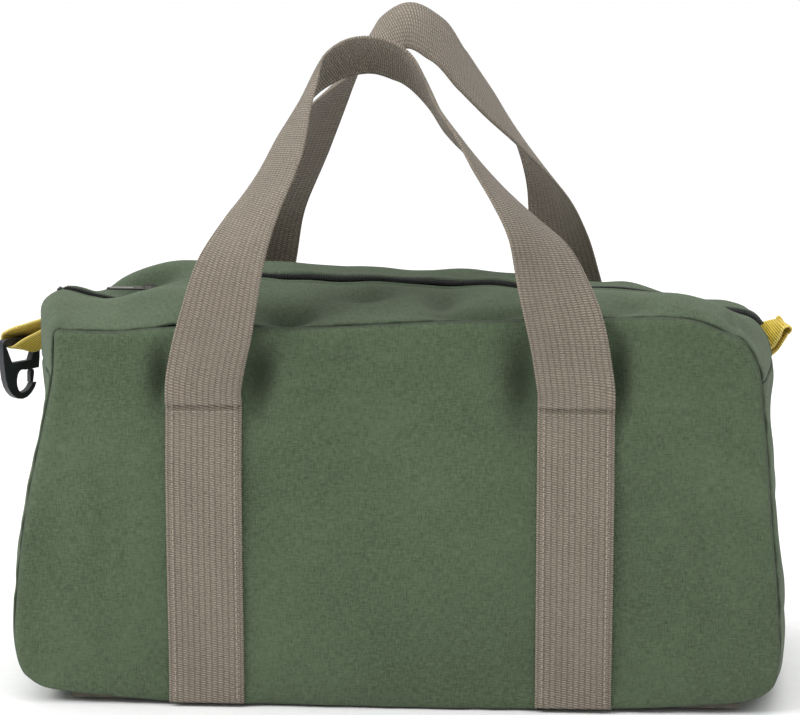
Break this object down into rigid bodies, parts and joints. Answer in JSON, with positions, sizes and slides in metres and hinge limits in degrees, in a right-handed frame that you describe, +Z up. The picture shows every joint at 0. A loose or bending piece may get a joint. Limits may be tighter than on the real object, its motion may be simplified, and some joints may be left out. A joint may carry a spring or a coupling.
{
  "type": "garden tool bag",
  "caption": "Canvas holdall for hand tools: boxy body that zips open along the top, webbing carrying handles, and end loops with a snap hook.",
  "frame": {"origin": "middle of the flat underside, on the floor", "axes": "+X along the bag's length, -Y out of the front panel, +Z up"},
  "size_m": [0.428, 0.181, 0.3513],
  "materials": {
    "canvas": "washed cotton canvas",
    "webbing": "ribbed woven webbing",
    "loop_webbing": "ribbed woven webbing",
    "board": "plain stiffening board",
    "zip_tape": "fine woven tape",
    "zip_coil": "nylon coil",
    "slider_metal": "black lacquered zinc",
    "hook_plastic": "moulded acetal"
  },
  "bodies": {
    "bag": {"front_panel": "canvas", "back_panel": "canvas", "side_panel_left": "canvas", "side_panel_right": "canvas", "bottom_panel": "canvas", "base_board": "board", "zip_panel_end_left": "canvas", "zip_panel_end_right": "canvas", "zip_end_left": "zip_tape", "zip_end_right": "zip_tape", "strap_front_left": "webbing", "strap_front_right": "webbing", "strap_back_left": "webbing", "strap_back_right": "webbing", "yellow_loop_left": "loop_webbing", "yellow_loop_right": "loop_webbing"},
    "front_flap": {"zip_panel_front": "canvas", "zip_tape_front": "zip_tape", "zip_coil_front": "zip_coil"},
    "back_flap": {"zip_panel_back": "canvas", "zip_tape_back": "zip_tape", "zip_coil_back": "zip_coil"},
    "front_grip": {"front_handle": "webbing"},
    "back_grip": {"back_handle": "webbing"},
    "slider": {"zip_slider": "slider_metal"},
    "pull": {"pull_tab": "slider_metal"},
    "hook": {"snap_hook_body": "hook_plastic"},
    "gate": {"snap_hook_gate": "hook_plastic"}
  },
  "joints": [
    {"name": "front_flap_fold", "type": "hinge", "parent": "bag", "child": "front_flap", "pos_m": [0, -0.0772, 0.195], "axis": [1, 0, 0], "range_deg": [0, 50]},
    {"name": "back_flap_fold", "type": "hinge", "parent": "bag", "child": "back_flap", "pos_m": [0, 0.0772, 0.195], "axis": [-1, 0, 0], "range_deg": [0, 50]},
    {"name": "front_handle_drop", "type": "hinge", "parent": "bag", "child": "front_grip", "pos_m": [0, -0.0842, 0.155], "axis": [1, 0, 0], "range_deg": [0, 150]},
    {"name": "back_handle_drop", "type": "hinge", "parent": "bag", "child": "back_grip", "pos_m": [0, 0.0842, 0.155], "axis": [-1, 0, 0], "range_deg": [0, 150]},
    {"name": "zip_travel", "type": "slide", "parent": "bag", "child": "slider", "axis": [1, 0, 0], "range_m": [-0.011, 0.289]},
    {"name": "pull_flip", "type": "hinge", "parent": "slider", "child": "pull", "pos_m": [-0.139, 0, 0.2008], "axis": [0, 1, 0], "range_deg": [0, 170]},
    {"name": "hook_swing", "type": "hinge", "parent": "bag", "child": "hook", "pos_m": [-0.21, 0.002, 0.172], "axis": [0.5446, 0.8387, 0], "range_deg": [-25, 80]},
    {"name": "gate_press", "type": "hinge", "parent": "hook", "child": "gate", "pos_m": [-0.20564, 0.00871, 0.1544], "axis": [-0.8387, 0.5446, 0], "range_deg": [0, 30], "stiffness_Nm_per_rad": 0.003, "springref_deg": -5.73}
  ]
}
